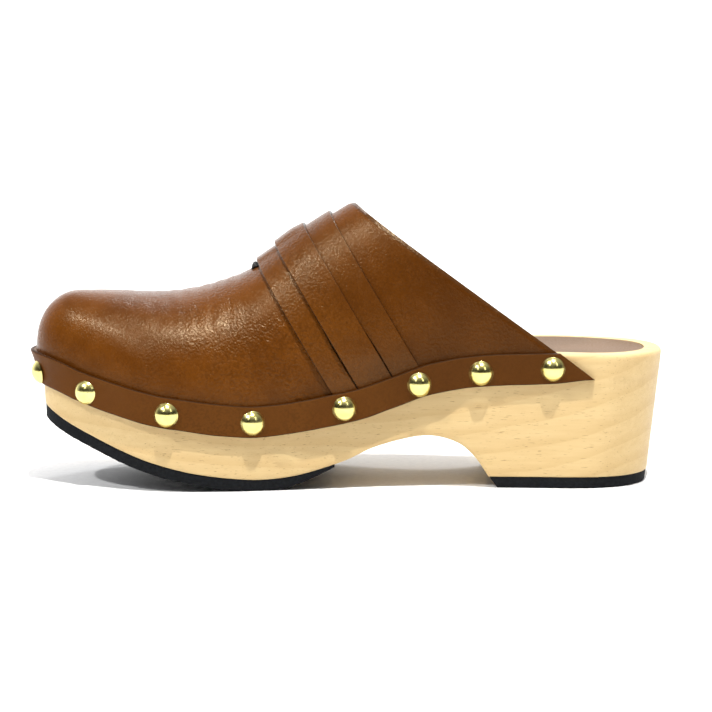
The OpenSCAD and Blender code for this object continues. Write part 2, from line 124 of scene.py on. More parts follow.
def rounded(distance, reach, power):
    """Quarter of a superellipse: 0 at the tip, 1 at the reach and beyond."""
    return (1 - (1 - np.clip(distance / reach, 0, 1)) ** power) ** (1 / power)


def footbed(x):
    return curve(FOOTBED, x)


def underside(x):
    return np.where(x < HEEL_FRONT_X, curve(UNDERSIDE, x), RUBBER_T)


def centre(x):
    return curve(CENTRE, x)


def toe_at(z, out):
    """Foremost X of the wall at a height: the toe falls back below its upper edge."""
    drop = np.maximum(footbed(TOE_X) - z, -TOE_TURN_TOP)
    return TOE_X - out + TOE_SETBACK * (1 - np.exp(-drop / TOE_TURN))


def heel_at(z, out):
    """Rearmost X of the wall at a height: the heel leans in towards the ground."""
    return HEEL_X + out - HEEL_LEAN * (HEEL_Z - z)


def wall_y(x, z, side, out=0.0):
    """Y of the shoe's wall at a place along it and a height, moved outwards by out."""
    half = curve(INNER_LINE if side == INNER else OUTER_LINE, x) + out - SIDE_LEAN * (footbed(x) - z)
    middle = centre(x)
    shape = (rounded(x - toe_at(z, out), TOE_REACH[side], TOE_POWER)
             * rounded(heel_at(z, out) - x, HEEL_REACH, HEEL_POWER))
    return middle + (side * half - middle) * shape


def stack(x, y, z):
    return np.stack(np.broadcast_arrays(x, y, z), -1)


def wall_point(x, side, drop, out=0.0):
    z = footbed(x) - drop
    return stack(x, wall_y(x, z, side, out), z)


def unit(v):
    return v / np.maximum(np.linalg.norm(v, axis=-1, keepdims=True), 1e-12)


def wall_normal(x, side, drop):
    along = wall_point(x + 1, side, drop) - wall_point(x - 1, side, drop)
    up = wall_point(x, side, drop - 3) - wall_point(x, side, drop + 3)
    return unit(np.cross(along, up)) * -side


def tip_at(drop, out):
    """Foremost X of a line on the wall that stays a drop below the footbed's edge."""
    x = np.full(np.broadcast(drop, out).shape, TOE_X)
    for _ in range(8):
        x = toe_at(footbed(x) - drop, out)
    return x


def vamp_point(x, angle, out=0.0):
    """Point on the vamp: angle 0 is the inner edge, 90 the ridge and 180 the outer edge."""
    base = footbed(x)
    middle = centre(x)
    loss = SECTION_POWER_LOSS * eased((x - SECTION_TURN_X) / SECTION_TURN_L)
    power = 2 / (SECTION_POWER - loss)
    rise = (curve(RIDGE, x) + out - base) * rounded(x - tip_at(0, out), RIDGE_REACH, HEEL_POWER)
    edge = np.where(angle < 90, wall_y(x, base, INNER, out), wall_y(x, base, OUTER, out))
    cosine = np.abs(np.cos(np.radians(angle)))
    sine = np.clip(np.sin(np.radians(angle)), 0, 1)
    return stack(x, middle + (edge - middle) * cosine ** power, base + rise * sine ** power)


def vamp_normal(x, angle):
    along = vamp_point(x + 0.5, angle) - vamp_point(x - 0.5, angle)
    over = vamp_point(x, np.minimum(angle + 1.5, 180)) - vamp_point(x, np.maximum(angle - 1.5, 0))
    return unit(np.cross(along, over))


def opening_x(angle, out):
    """X where the vamp's opening crosses a line of the vamp."""
    low = np.full(np.shape(angle), -20.0)
    high = np.full(np.shape(angle), 110.0)
    for _ in range(24):
        middle = (low + high) / 2
        p = vamp_point(middle, angle, out)
        drop = OPENING_DROP * eased((p[..., 1] - OPENING_DROP_Y) / OPENING_DROP_W)
        height = p[..., 2] + OPENING_FALL * p[..., 0] - OPENING_Z + drop
        low = np.where(height < 0, middle, low)
        high = np.where(height < 0, high, middle)
    return (low + high) / 2


def opening_x_at(z, side):
    """X of the opening's edge at a height on one side, low down where the wall is upright."""
    return (OPENING_Z - (OPENING_DROP if side == OUTER else 0) - z) / OPENING_FALL


def from_toe(u):
    """Fraction along the shoe that gathers the stations at the round toe."""
    return 1 - np.cos(np.pi / 2 * u)


def lumps(points, size, seed):
    """Smooth noise of about -1 to 1 at each point, with lumps of a size in millimetres."""
    shift = Vector((seed * 7.3, seed * 3.1, seed * 1.7))
    flat = points.reshape(-1, 3) / size
    values = [noise.noise(Vector(p) + shift) for p in flat]
    return np.array(values).reshape(points.shape[:-1])


def zone(value, middle, reach):
    """Weight of 1 at the middle of a zone, which fades to both sides like a bell."""
    return np.exp(-((value - middle) / reach) ** 2)


# ---------------------------------------- meshes
def add_object(name, data):
    obj = bpy.data.objects.new(name, data)
    bpy.context.scene.collection.objects.link(obj)
    return obj


def build(name, points, faces, materials, sharp, face_materials=None, edge=None):
    """Mesh object from points in millimetres, smooth but for edges sharper than an angle.
    edge is a number for each point, which the leather's material reads."""
    mesh = bpy.data.meshes.new(name)
    mesh.from_pydata((np.asarray(points) * SCALE).tolist(), [], [list(f) for f in faces])
    for material in materials:
        mesh.materials.append(material)
    if face_materials is not None:
        mesh.polygons.foreach_set("material_index", np.asarray(face_materials, np.int32))
    if edge is not None:
        attribute = mesh.attributes.new("edge", "FLOAT", "POINT")
        attribute.data.foreach_set("value", np.asarray(edge, np.float32).ravel())
    bm = bmesh.new()
    bm.from_mesh(mesh)
    bmesh.ops.remove_doubles(bm, verts=bm.verts, dist=2e-6)
    bmesh.ops.dissolve_degenerate(bm, dist=1e-7, edges=bm.edges)
    bmesh.ops.recalc_face_normals(bm, faces=bm.faces)
    bm.to_mesh(mesh)
    bm.free()
    mesh.shade_smooth()
    mesh.set_sharp_from_angle(angle=math.radians(sharp))
    return add_object(name, mesh)


def place(obj, node):
    """The piece rides on the shoe's one body and stands for a CAD node."""
    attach(obj, "root")
    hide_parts(node)


def grid_faces(index):
    """Four-cornered faces between the rows and columns of a grid of point numbers."""
    a = index[:-1, :-1].ravel()
    b = index[1:, :-1].ravel()
    c = index[1:, 1:].ravel()
    d = index[:-1, 1:].ravel()
    return np.stack([a, b, c, d], 1)


def sheet(name, high, low, share, materials, front_open=True, sharp=50):
    """Closed solid between two grids of points. Its thickness is multiplied by share, which falls at
    the edges to round them. The first material is on the high face, the second on the low one. With
    front_open off, the first row's halves meet at the toe, so it gets no side faces."""
    middle = (high + low) / 2
    high = middle + (high - middle) * share[..., None]
    low = middle + (low - middle) * share[..., None]
    n, m = high.shape[:2]
    index = np.arange(n * m).reshape(n, m)
    under = index + n * m
    front = list(index[0]) if front_open else [index[0, -1]]
    rim = front + list(index[1:, -1]) + list(index[-1, -2::-1]) + list(index[-2::-1, 0])
    sides = [(a, b, b + n * m, a + n * m) for a, b in zip(rim[:-1], rim[1:])]
    faces = np.concatenate([grid_faces(index), grid_faces(under)[:, ::-1], np.array(sides)])
    count = (n - 1) * (m - 1)
    slots = np.concatenate([np.zeros(count), np.ones(count), np.zeros(len(sides))])
    edge = np.concatenate([1 - share.ravel(), 1 - share.ravel()])
    points = np.concatenate([high.reshape(-1, 3), low.reshape(-1, 3)])
    return build(name, points, faces, materials, sharp, slots, edge)


def edge_share(distance, thickness, radius):
    """Part of the thickness left at a distance from an edge that is rounded by a radius."""
    d = np.clip(distance, 0, radius)
    lost = radius - np.sqrt(np.maximum(radius ** 2 - (radius - d) ** 2, 0))
    return 1 - 2 * lost / thickness


def edge_stations(length, radius, steps):
    """Distances across a width: close together on the two rounded edges, even between them."""
    near = radius * (1 - np.cos(np.radians([0, 25, 50, 75, 90])))
    between = np.linspace(radius, length - radius, steps + 1)[1:-1]
    return np.concatenate([near, between, length - near[::-1]])


def rings(name, layers, materials, sharp, cap_ends=False):
    """Closed loft along the shoe. Each layer is a row of points from toe to heel, and the layers go
    once round the section: up the inner wall, over the top, down the outer wall and back below."""
    grid = np.stack(layers, 1)
    n, m = grid.shape[:2]
    index = np.arange(n * m).reshape(n, m)
    closed = np.concatenate([index, index[:, :1]], 1)
    faces = list(grid_faces(closed))
    if cap_ends:
        faces.append(list(index[0]))
        faces.append(list(index[-1][::-1]))
    return build(name, grid.reshape(-1, 3), faces, materials, sharp)


# ---------------------------------------- materials
class Nodes:
    """Small helper that adds and links shader nodes."""

    def __init__(self, name):
        self.material = bpy.data.materials.new(name)
        self.material.use_nodes = True
        self.tree = self.material.node_tree
        self.shader = self.tree.nodes["Principled BSDF"]
        self.where = self.add("ShaderNodeTexCoord").outputs["Object"]

    def add(self, kind, **settings):
        node = self.tree.nodes.new(kind)
        for key, value in settings.items():
            setattr(node, key, value)
        return node

    def put(self, socket, value):
        """Links an output to a socket, or sets the socket to a constant."""
        if isinstance(value, bpy.types.NodeSocket):
            self.tree.links.new(value, socket)
        else:
            socket.default_value = value

    def stretched(self, size):
        """Position divided by a size in millimetres along X, Y and Z."""
        node = self.add("ShaderNodeMapping")
        self.put(node.inputs["Vector"], self.where)
        self.put(node.inputs["Scale"], [1000 / s for s in size])
        return node.outputs["Vector"]

    def noise(self, size, detail=3.0, roughness=0.5, vector=None):
        """Noise with a size in millimetres, which a stretched position brings with it instead."""
        node = self.add("ShaderNodeTexNoise")
        self.put(node.inputs["Vector"], vector if vector is not None else self.where)
        self.put(node.inputs["Scale"], 1.0 if vector is not None else 1000 / size)
        self.put(node.inputs["Detail"], detail)
        self.put(node.inputs["Roughness"], roughness)
        return node.outputs["Fac"]

    def cells(self, size, feature="DISTANCE_TO_EDGE", vector=None):
        node = self.add("ShaderNodeTexVoronoi", feature=feature)
        self.put(node.inputs["Vector"], vector if vector is not None else self.where)
        self.put(node.inputs["Scale"], 1000 / size)
        return node.outputs["Distance"]

    def ramp(self, value, low, high, low_to=0.0, high_to=1.0):
        """Eased change from low_to, where value is low, to high_to, where it is high."""
        node = self.add("ShaderNodeMapRange", interpolation_type="SMOOTHSTEP")
        for key, number in zip(("Value", "From Min", "From Max", "To Min", "To Max"),
                               (value, low, high, low_to, high_to)):
            self.put(node.inputs[key], number)
        return node.outputs["Result"]

    def math(self, operation, a, b=0.0):
        node = self.add("ShaderNodeMath", operation=operation)
        self.put(node.inputs[0], a)
        self.put(node.inputs[1], b)
        return node.outputs["Value"]

    def times(self, a, b):
        return self.math("MULTIPLY", a, b)

    def mix(self, factor, a, b):
        """Colour a where factor is 0, and b where it is 1."""
        node = self.add("ShaderNodeMix", data_type="RGBA")
        colours = [s for s in node.inputs if s.type == "RGBA"]
        self.put(node.inputs["Factor"], factor)
        for socket, colour in zip(colours, (a, b)):
            self.put(socket, colour if isinstance(colour, bpy.types.NodeSocket) else (*colour, 1.0))
        return next(s for s in node.outputs if s.type == "RGBA")

    def axis(self, name):
        node = self.add("ShaderNodeSeparateXYZ")
        self.put(node.inputs["Vector"], self.where)
        return node.outputs[name]

    def edge(self):
        """0 on the faces of a sheet, rising on its rounded edges."""
        return self.add("ShaderNodeAttribute", attribute_name="edge").outputs["Fac"]

    def bump(self, height, distance, normal=None):
        """Bump of a height from 0 to 1, with a depth in millimetres, over another bump or none."""
        node = self.add("ShaderNodeBump")
        self.put(node.inputs["Height"], height)
        self.put(node.inputs["Distance"], distance / 1000)
        if normal is not None:
            self.put(node.inputs["Normal"], normal)
        return node.outputs["Normal"]

    def finish(self, colour, roughness, normal, **constants):
        """Feeds the shader. Its other inputs are named with _ for each space."""
        self.put(self.shader.inputs["Base Color"], colour)
        self.put(self.shader.inputs["Roughness"], roughness)
        self.put(self.shader.inputs["Normal"], normal)
        for key, value in constants.items():
            self.shader.inputs[key.replace("_", " ")].default_value = value
        return self.material


WAX_TINT = (1.0, 0.78, 0.48, 1.0)


def leather(name, light, dark, cut_edge_and_gap_shade, pebble, pebble_depth, gloss, shine):
    """Grain leather with pebbles of a width and depth in millimetres, deeper where the hide is
    looser. gloss is the lowest roughness, and shine the strength of the reflections."""
    n = Nodes(name)
    patches = n.noise(30, 2.0, 0.6)
    mottle = n.noise(4, 4.0, 0.65)
    grain = n.cells(pebble, "SMOOTH_F1", vector=warped(n, 0.9))
    fine = n.cells(0.42, "F1")
    pores = n.noise(0.35, 3.0, 0.6)
    # The hide is tight over the toe and looser behind it, in patches. X is in metres.
    along = n.math("ADD", n.axis("X"), n.times(n.noise(18, 2.0), 0.05))
    behind_toe = n.ramp(along, -0.075, -0.025, 0.3, 1.0)
    before_heel = n.ramp(along, 0.0, 0.035, 1.0, 0.55)
    in_patches = n.ramp(n.noise(16, 2.0), 0.3, 0.6, 0.35, 1.0)
    loose = n.times(n.times(behind_toe, before_heel), in_patches)
    furrow = n.times(n.ramp(grain, 0.35, 0.62), loose)
    darker_rear = n.ramp(along, 0.015, 0.06, 0.0, 0.6)
    colour = n.mix(n.ramp(patches, 0.3, 0.7), dark, light)
    colour = n.mix(n.times(n.ramp(mottle, 0.35, 0.75), 0.3), colour, light)
    colour = n.mix(darker_rear, colour, [c * 0.72 for c in dark])
    colour = n.mix(n.times(furrow, 0.3), colour, [c * 0.4 for c in dark])
    # Colour on the rounded cut edges: partly the leather's own edge colour, and partly painted shade of the
    # gaps beside the edges. On the straps it is near black and mostly painted gap shadow.
    colour = n.mix(n.ramp(n.edge(), 0.0, 0.15, 0.0, 0.95), colour, cut_edge_and_gap_shade)
    rough = n.ramp(mottle, 0.3, 0.7, gloss, gloss + 0.1)
    domes = n.times(n.ramp(grain, 0.7, 0.1), loose)
    normal = n.bump(domes, pebble_depth)
    normal = n.bump(n.ramp(fine, 0.6, 0.1), 0.03, normal)
    normal = n.bump(pores, 0.03, normal)
    return n.finish(colour, rough, normal, Specular_IOR_Level=shine, Specular_Tint=WAX_TINT)


def warped(n, amount):
    """Position bent by noise, by up to amount millimetres, so that the grain's cells are uneven."""
    bends_per_metre = 350
    bend = n.add("ShaderNodeTexNoise")
    n.put(bend.inputs["Vector"], n.where)
    n.put(bend.inputs["Scale"], bends_per_metre)
    shift = n.add("ShaderNodeVectorMath", operation="SCALE")
    n.put(shift.inputs[0], bend.outputs["Color"])
    n.put(shift.inputs["Scale"], amount / 1000)
    total = n.add("ShaderNodeVectorMath", operation="ADD")
    n.put(total.inputs[0], n.where)
    n.put(total.inputs[1], shift.outputs["Vector"])
    return total.outputs["Vector"]


def suede(name, light, dark):
    """Napped flesh side of leather, for the inside of the vamp."""
    n = Nodes(name)
    nap = n.noise(0.8, 5.0, 0.7)
    patches = n.noise(14, 3.0)
    colour = n.mix(n.ramp(patches, 0.3, 0.7), dark, light)
    colour = n.mix(n.times(nap, 0.35), colour, [c * 0.6 for c in dark])
    return n.finish(colour, n.ramp(nap, 0.2, 0.8, 0.8, 0.95), n.bump(nap, 0.12), Sheen_Weight=0.25)


def sock_leather():
    """Fine matte lining leather on the footbed."""
    n = Nodes("sock_leather")
    patches = n.noise(30, 2.0)
    fine = n.noise(0.7, 4.0, 0.6)
    grain = n.cells(0.9)
    colour = n.mix(n.ramp(patches, 0.3, 0.7), (0.150, 0.088, 0.044), (0.19, 0.115, 0.060))
    colour = n.mix(n.times(fine, 0.3), colour, (0.09, 0.05, 0.04))
    normal = n.bump(n.ramp(grain, 0.0, 0.3), 0.05)
    normal = n.bump(fine, 0.04, normal)
    return n.finish(colour, n.ramp(fine, 0.3, 0.7, 0.5, 0.62), normal, Specular_IOR_Level=0.2)


def late_wood(n):
    """The darker part of each growth ring. The rings lie around an axis across the shoe, high above
    it, so they cross its sides as long arcs which rise towards the toe and the heel."""
    axis_x, axis_z = -0.02, 0.18
    flattening = 0.35
    rings_per_metre = 115
    bend = n.times(n.noise(60, 2.0, 0.5), 0.012)
    away = n.math("SUBTRACT", n.axis("X"), axis_x)
    below = n.math("SUBTRACT", n.math("ADD", n.axis("Z"), bend), axis_z)
    flat = n.times(n.times(away, away), flattening)
    radius = n.math("SQRT", n.math("ADD", flat, n.times(below, below)))
    ring = n.math("FRACT", n.times(radius, rings_per_metre))
    return n.times(n.ramp(ring, 0.45, 0.92), n.ramp(ring, 1.0, 0.94))


def sole_wood():
    """Pale lacquered wood, grained along the shoe: growth rings, pores and soft colour bands."""
    n = Nodes("sole_wood")
    pale = (0.68, 0.505, 0.25)
    deep = (0.56, 0.37, 0.16)
    pore_brown = (0.33, 0.19, 0.08)
    streak = n.noise(1, 4.0, 0.6, vector=n.stretched((45, 2.2, 2.2)))
    fibre = n.noise(1, 3.0, 0.6, vector=n.stretched((14, 0.45, 0.45)))
    pores = n.noise(1, 2.0, 0.5, vector=n.stretched((4.5, 0.32, 0.32)))
    pore = n.ramp(pores, 0.64, 0.72)
    colour = n.mix(n.ramp(streak, 0.3, 0.75), pale, n.mix(0.35, pale, deep))
    colour = n.mix(n.times(late_wood(n), 0.36), colour, deep)
    colour = n.mix(n.times(n.ramp(fibre, 0.5, 0.8), 0.22), colour, deep)
    colour = n.mix(n.times(pore, 0.7), colour, pore_brown)
    normal = n.bump(pore, -0.05)
    normal = n.bump(fibre, 0.025, normal)
    return n.finish(colour, n.ramp(fibre, 0.3, 0.7, 0.38, 0.52), normal, Specular_IOR_Level=0.22)


def rubber():
    """Black microcell rubber with a rough cut edge."""
    n = Nodes("rubber")
    cells = n.noise(1.1, 4.0, 0.65)
    coarse = n.noise(6, 3.0)
    colour = n.mix(n.ramp(cells, 0.3, 0.75), (0.004, 0.0045, 0.0055), (0.013, 0.0145, 0.017))
    normal = n.bump(cells, 0.25)
    normal = n.bump(coarse, 0.3, normal)
    return n.finish(colour, n.ramp(cells, 0.3, 0.7, 0.7, 0.9), normal, Specular_IOR_Level=0.12)


def brass():
    """Polished brass, with faint handling marks."""
    n = Nodes("nail_brass")
    haze = n.noise(3, 3.0)
    marks = n.noise(1, 3.0, 0.6, vector=n.stretched((1.2, 0.12, 0.5)))
    colour = n.mix(n.ramp(haze, 0.3, 0.7), (0.80, 0.71, 0.25), (0.87, 0.79, 0.32))
    normal = n.bump(marks, 0.004)
    return n.finish(colour, n.ramp(haze, 0.3, 0.7, 0.16, 0.24), normal, Metallic=1.0)


def steel():
    """Plain wire and nail steel, for the hidden fasteners."""
    n = Nodes("hidden_steel")
    haze = n.noise(2, 3.0)
    brushed = n.noise(1, 3.0, vector=n.stretched((0.3, 0.3, 4)))
    colour = n.mix(n.ramp(haze, 0.3, 0.7), (0.42, 0.42, 0.43), (0.6, 0.6, 0.61))
    return n.finish(colour, n.ramp(haze, 0.3, 0.7, 0.3, 0.45), n.bump(brushed, 0.01), Metallic=1.0)


def woven(name, light, dark, pitch):
    """Coarse surface of crossed threads with a pitch in millimetres: tab, toe stiffener and pad."""
    n = Nodes(name)
    turns = 2 * math.pi / (pitch / 1000)
    warp = n.math("SINE", n.times(n.axis("X"), turns))
    weft = n.math("SINE", n.times(n.axis("Y"), turns))
    weave = n.ramp(n.times(warp, weft), -1.0, 1.0)
    fuzz = n.noise(0.6, 4.0, 0.7)
    colour = n.mix(weave, dark, light)
    colour = n.mix(n.times(fuzz, 0.3), colour, dark)
    normal = n.bump(weave, 0.12)
    normal = n.bump(fuzz, 0.05, normal)
    return n.finish(colour, n.ramp(fuzz, 0.3, 0.7, 0.75, 0.92), normal)


def paper_floor():
    """White backdrop paper."""
    n = Nodes("paper_floor")
    fibres = n.noise(2.5, 4.0, 0.6)
    colour = n.mix(n.ramp(fibres, 0.3, 0.7), (0.76, 0.76, 0.765), (0.82, 0.82, 0.82))
    return n.finish(colour, 0.6, n.bump(fibres, 0.12), Specular_IOR_Level=0.2)


VAMP_LEATHER = leather("vamp_leather", light=(0.120, 0.036, 0.0034), dark=(0.076, 0.021, 0.0016),
                       cut_edge_and_gap_shade=(0.06, 0.02, 0.004), pebble=0.95, pebble_depth=0.13, gloss=0.20, shine=0.24)
# The straps' near-black edge colour is painted shade for the gaps along their edges, laid over the edges' own
# dye.
STRAP_LEATHER = leather("strap_leather", light=(0.106, 0.032, 0.0030), dark=(0.080, 0.023, 0.0020),
                        cut_edge_and_gap_shade=(0.007, 0.003, 0.002), pebble=1.0, pebble_depth=0.11, gloss=0.20, shine=0.28)
BAND_LEATHER = leather("band_leather", light=(0.108, 0.036, 0.0054), dark=(0.092, 0.029, 0.0042),
                       cut_edge_and_gap_shade=(0.03, 0.010, 0.003), pebble=0.8, pebble_depth=0.03, gloss=0.45, shine=0.12)
LINING = suede("vamp_lining", (0.17, 0.085, 0.04), (0.11, 0.052, 0.024))
SOCK = sock_leather()
WOOD = sole_wood()
RUBBER = rubber()
BRASS = brass()
STEEL = steel()
TAB = woven("tab_webbing", (0.03, 0.03, 0.03), (0.006, 0.006, 0.006), 0.9)
PUFF = woven("puff_board", (0.24, 0.155, 0.10), (0.17, 0.105, 0.065), 0.8)
PAD = woven("pad_foam", (0.62, 0.55, 0.42), (0.45, 0.38, 0.28), 0.7)

# ---------------------------------------- the carved sole
VAMP_T = 2.0
GAP = 0.1
BAND_H = 12
BAND_T = 2.2
BAND_TOP = 0.3
BAND_W = BAND_H + BAND_TOP
MARGIN_H = 10
RABBET_H = MARGIN_H + 0.3
RABBET_DEPTH = 2.4
RABBET_RUNOUT = 0.35
RIM_W = 7
PAD_T = 1.5
SOCK_T = 1.2
TOP_RADIUS = 1.5
FOOT_RADIUS = 0.7
DISH_DEPTH = 1.3
DISH_HALF_WIDTH = 20


def ring_x(u, tip, end):
    """X of the stations of a row between its two ends."""
    return tip + u * (end - tip)


def across(inner_row, outer_row, parts):
    """Rows between two edge rows, evenly spaced."""
    return [inner_row + (outer_row - inner_row) * t for t in np.linspace(0, 1, parts + 1)[1:-1]]


def rabbet(x, drop, side):
    """How far the rabbet for the vamp's edge goes in: it ends at a slant behind the band."""
    slant = np.interp(drop, [-6, RABBET_H], [-2.1, 4.5])
    end = opening_x_at(HEEL_Z, side) + slant
    return RABBET_DEPTH * np.clip((end - x) / RABBET_RUNOUT, 0, 1)


def wall_ring(u, side, drop, inwards, cut):
    """Row on the wall at a drop below the footbed's edge, moved in, with or without the rabbet."""
    tip = tip_at(drop, -inwards - (RABBET_DEPTH if cut else 0))
    x = ring_x(u, tip, heel_at(HEEL_Z - drop, -inwards))
    depth = rabbet(x, drop, side) if cut else 0
    z = footbed(x) - drop
    return stack(x, wall_y(x, z, side, -inwards - depth), z)


def sole_stations():
    """Fractions along the shoe: gathered at both ends, and at the places where its shape turns."""
    ends = (1 - np.cos(np.linspace(0, np.pi, 151))) / 2
    even = np.linspace(0.02, 0.98, 120)
    rabbet_end = np.arange(64, 90, 0.35)
    heel_front = np.append(np.arange(49, 57.5, 0.4), HEEL_FRONT_X)
    # The turns as fractions of the walls' length near the ground, where the toe's tip is at Z = 30.
    low_tip, low_end = toe_at(30, 0), heel_at(RUBBER_T, 0)
    turns = (np.append(rabbet_end, heel_front) - low_tip) / (low_end - low_tip)
    return np.unique(np.round(np.concatenate([ends, even, turns]), 6))


def carved_sole():
    """The wood: a rounded lower edge, walls with the rabbet, a rounded rim and the recess inside it."""
    u = sole_stations()
    low_z = underside(ring_x(u, tip_of_underside(0), heel_at(RUBBER_T, 0)))

    def side_rows(side):
        rows = []
        for a in np.radians([0, 30, 60, 90]):
            inwards = FOOT_RADIUS * (1 - np.sin(a))
            z = low_z + FOOT_RADIUS * (1 - np.cos(a))
            x = ring_x(u, toe_at(z[0], -inwards), heel_at(z[-1], -inwards))
            rows.append(stack(x, wall_y(x, z, side, -inwards), z))
        start = rows[-1]
        foot = wall_ring(u, side, RABBET_H, 0, False)
        for t in np.linspace(0, 1, 12)[1:]:
            z = start[:, 2] + (foot[:, 2] - start[:, 2]) * t
            x = ring_x(u, toe_at(z[0], 0), heel_at(z[-1], 0))
            rows.append(stack(x, wall_y(x, z, side), z))
        for drop in (RABBET_H, 8, 5, 3, TOP_RADIUS):
            rows.append(wall_ring(u, side, drop, 0, True))
        for a in np.radians([30, 60, 90]):
            drop = TOP_RADIUS * (1 - np.sin(a))
            rows.append(wall_ring(u, side, drop, TOP_RADIUS * (1 - np.cos(a)), True))
        rows.append(wall_ring(u, side, 0, (RIM_W + TOP_RADIUS) / 2, False))
        rows.append(wall_ring(u, side, 0, RIM_W, False))
        rows.append(wall_ring(u, side, 0, RIM_W, False) - [0, 0, PAD_T + SOCK_T])
        return rows

    inner, outer = side_rows(INNER), side_rows(OUTER)
    layers = inner + across(inner[-1], outer[-1], 6) + outer[::-1] + across(outer[0], inner[0], 8)
    place(rings("carved_sole", layers, [WOOD], sharp=40), "wooden_sole")


def tip_of_underside(out):
    """Foremost X of the wood's lower edge."""
    x = TOE_X
    for _ in range(12):
        x = toe_at(underside(x), out)
    return x


def dished(x, y, height):
    """Z of a surface at a height from the footbed's edge at the rim, and dished between."""
    inner = wall_y(x, footbed(x), INNER, -RIM_W)
    outer = wall_y(x, footbed(x), OUTER, -RIM_W)
    half = np.maximum((outer - inner) / 2, 0.5)
    off = np.clip(np.abs(y - (inner + outer) / 2) / half, 0, 1)
    return footbed(x) + height - DISH_DEPTH * (1 - off ** 2.5) * np.clip(half / DISH_HALF_WIDTH, 0, 1)


def footbed_layer(name, high, low, inset, radius, material):
    """Layer in the footbed's recess, between two heights, with rounded upper edges."""
    u = (1 - np.cos(np.linspace(0, np.pi, 181))) / 2

    def row(side, out, height):
        x = ring_x(u, tip_at(0, out), heel_at(HEEL_Z, out))
        y = wall_y(x, footbed(x), side, out)
        return stack(x, y, dished(x, y, height))

    def side_rows(side):
        rows = [row(side, -RIM_W - inset, low)]
        for a in np.radians([0, 30, 60, 90]):
            out = -RIM_W - inset - radius * (1 - np.cos(a))
            rows.append(row(side, out, high - radius * (1 - np.sin(a))))
        rows.append(row(side, -RIM_W - inset - radius - 1.5, high))
        return rows

    def span(start, end, height, parts):
        rows = across(start, end, parts)
        return [stack(r[:, 0], r[:, 1], dished(r[:, 0], r[:, 1], height)) for r in rows]

    inner, outer = side_rows(INNER), side_rows(OUTER)
    layers = (inner + span(inner[-1], outer[-1], high, 16) + outer[::-1]
              + span(outer[0], inner[0], low, 12))
    return rings(name, layers, [material], sharp=60)


def insole():
    """Sock and the cushion under it, a hair apart."""
    sock = footbed_layer("sock_lining", high=0.0, low=-SOCK_T + 0.02, inset=0.15, radius=0.45, material=SOCK)
    place(sock, "insole_sock")
    pad = footbed_layer("footbed_cushion", high=-SOCK_T - 0.03, low=-SOCK_T - PAD_T + 0.05, inset=0.3,
                        radius=0.5, material=PAD)
    place(pad, "insole_pad")


# ---------------------------------------- rubber
RUBBER_REAR = -5
RUBBER_TAPER = 19
RUBBER_END_T = 1.1
LIFT_SLANT = 3.2
RUBBER_WALL = ((0.0, 0.9), (0.02, 0.45), (0.1, 0.1), (0.22, 0.0), (0.5, 0.0), (0.8, 0.0), (1.0, 0.0))
RUBBER_LUMP = 1.6
RUBBER_ROUGHNESS = 0.3
NAIL_HEAD_D = 5
NAIL_HEAD_T = 1.4
NAIL_SINK = 0.8
SEAT_CUTTER_L = 8
SOLE_NAILS = ([(-106, 0)] + [(x, s * 25) for x in (-88, -68, -48, -28) for s in (-1, 1)]
              + [(112, 0)] + [(x, s * 20) for x in (74, 98) for s in (-1, 1)])


def rubber_low(x):
    """Lower face of the rubber, which is thinned towards its rear end in the arch."""
    rise = (underside(x + 1) - underside(x - 1)) / 2
    thinned = (RUBBER_T - RUBBER_END_T) * np.clip((x - RUBBER_REAR + RUBBER_TAPER) / RUBBER_TAPER, 0, 1)
    return np.where(x > HEEL_FRONT_X, 0, underside(x) - (RUBBER_T - thinned) * np.sqrt(1 + rise ** 2))


def roughened(points, seed):
    """Points moved a little at random, as a cut rubber edge is, but not below the ground."""
    moved = points.copy()
    moved[..., 1] += RUBBER_ROUGHNESS * lumps(points, RUBBER_LUMP, seed)
    moved[..., 2] += RUBBER_ROUGHNESS * lumps(points, RUBBER_LUMP, seed + 5)
    moved[..., 2] = np.maximum(moved[..., 2], 0)
    return moved


def rubber_solid(name, top_x, low_x, high_z, low_z):
    """Rubber layer between two lines drawn in side view, with a rough lower edge. RUBBER_WALL gives
    shares of its height, and how far the wall goes in there."""
    def side_rows(side):
        rows = []
        for t, inwards in RUBBER_WALL:
            x = low_x + (top_x - low_x) * t
            z = low_z + (high_z - low_z) * t
            y = wall_y(x, z, side, -RUBBER_INSET - inwards)
            rows.append(stack(x, y, z))
        rows[1] = roughened(rows[1], 3 + side)
        rows[2] = roughened(rows[2], 9 + side)
        return rows

    inner, outer = side_rows(INNER), side_rows(OUTER)
    layers = inner + across(inner[-1], outer[-1], 8) + outer[::-1] + across(outer[0], inner[0], 12)
    return rings(name, layers, [RUBBER], sharp=45, cap_ends=True)


def cut_nail_seats(obj):
    """Round seats for the nail heads, cut into the rubber's lower face."""
    bm = bmesh.new()
    radius = NAIL_HEAD_D / 2 * SCALE
    for x, y in SOLE_NAILS:
        seat = bmesh.ops.create_cone(bm, cap_ends=True, segments=32, radius1=radius, radius2=radius,
                                     depth=SEAT_CUTTER_L * SCALE)
        top = float(rubber_low(x)) + NAIL_SINK + NAIL_HEAD_T
        middle = (x * SCALE, (y + float(centre(x))) * SCALE, (top - SEAT_CUTTER_L / 2) * SCALE)
        bmesh.ops.translate(bm, verts=seat["verts"], vec=middle)
    mesh = bpy.data.meshes.new("seats")
    bm.to_mesh(mesh)
    bm.free()
    cutter = add_object("seats", mesh)
    cut = obj.modifiers.new("seats", "BOOLEAN")
    cut.operation = "DIFFERENCE"
    cut.object = cutter
    with bpy.context.temp_override(object=obj, active_object=obj):
        bpy.ops.object.modifier_apply(modifier=cut.name)
    bpy.data.objects.remove(cutter)
    bpy.data.meshes.remove(mesh)


